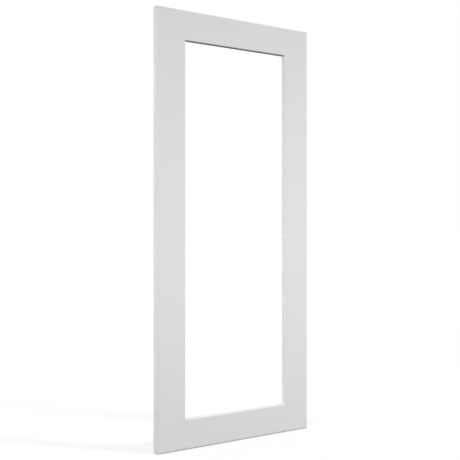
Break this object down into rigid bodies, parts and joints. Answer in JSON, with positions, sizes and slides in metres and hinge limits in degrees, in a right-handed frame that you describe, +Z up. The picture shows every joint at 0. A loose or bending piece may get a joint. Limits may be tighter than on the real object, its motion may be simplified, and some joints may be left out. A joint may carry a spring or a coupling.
{
  "type": "kitchen cabinet door",
  "caption": "Tall painted frame door for a kitchen cabinet, its open window rebated at the back for a pane, with cup hinge borings down one stile.",
  "frame": {"origin": "middle of the bottom edge, at mid-thickness", "axes": "+X to the right seen from the front, +Y from the front face to the back, +Z up"},
  "size_m": [0.397, 0.02, 0.957],
  "materials": {
    "painted_frame": "satin light warm grey paint",
    "beech_dowel": "bare beech"
  },
  "bodies": {
    "root": {"stile_left": "painted_frame", "stile_right": "painted_frame", "rail_top": "painted_frame", "rail_bottom": "painted_frame", "dowel_bottom_left_lower": "beech_dowel", "dowel_bottom_left_upper": "beech_dowel", "dowel_bottom_right_lower": "beech_dowel", "dowel_bottom_right_upper": "beech_dowel", "dowel_top_left_lower": "beech_dowel", "dowel_top_left_upper": "beech_dowel", "dowel_top_right_lower": "beech_dowel", "dowel_top_right_upper": "beech_dowel"}
  },
  "joints": []
}
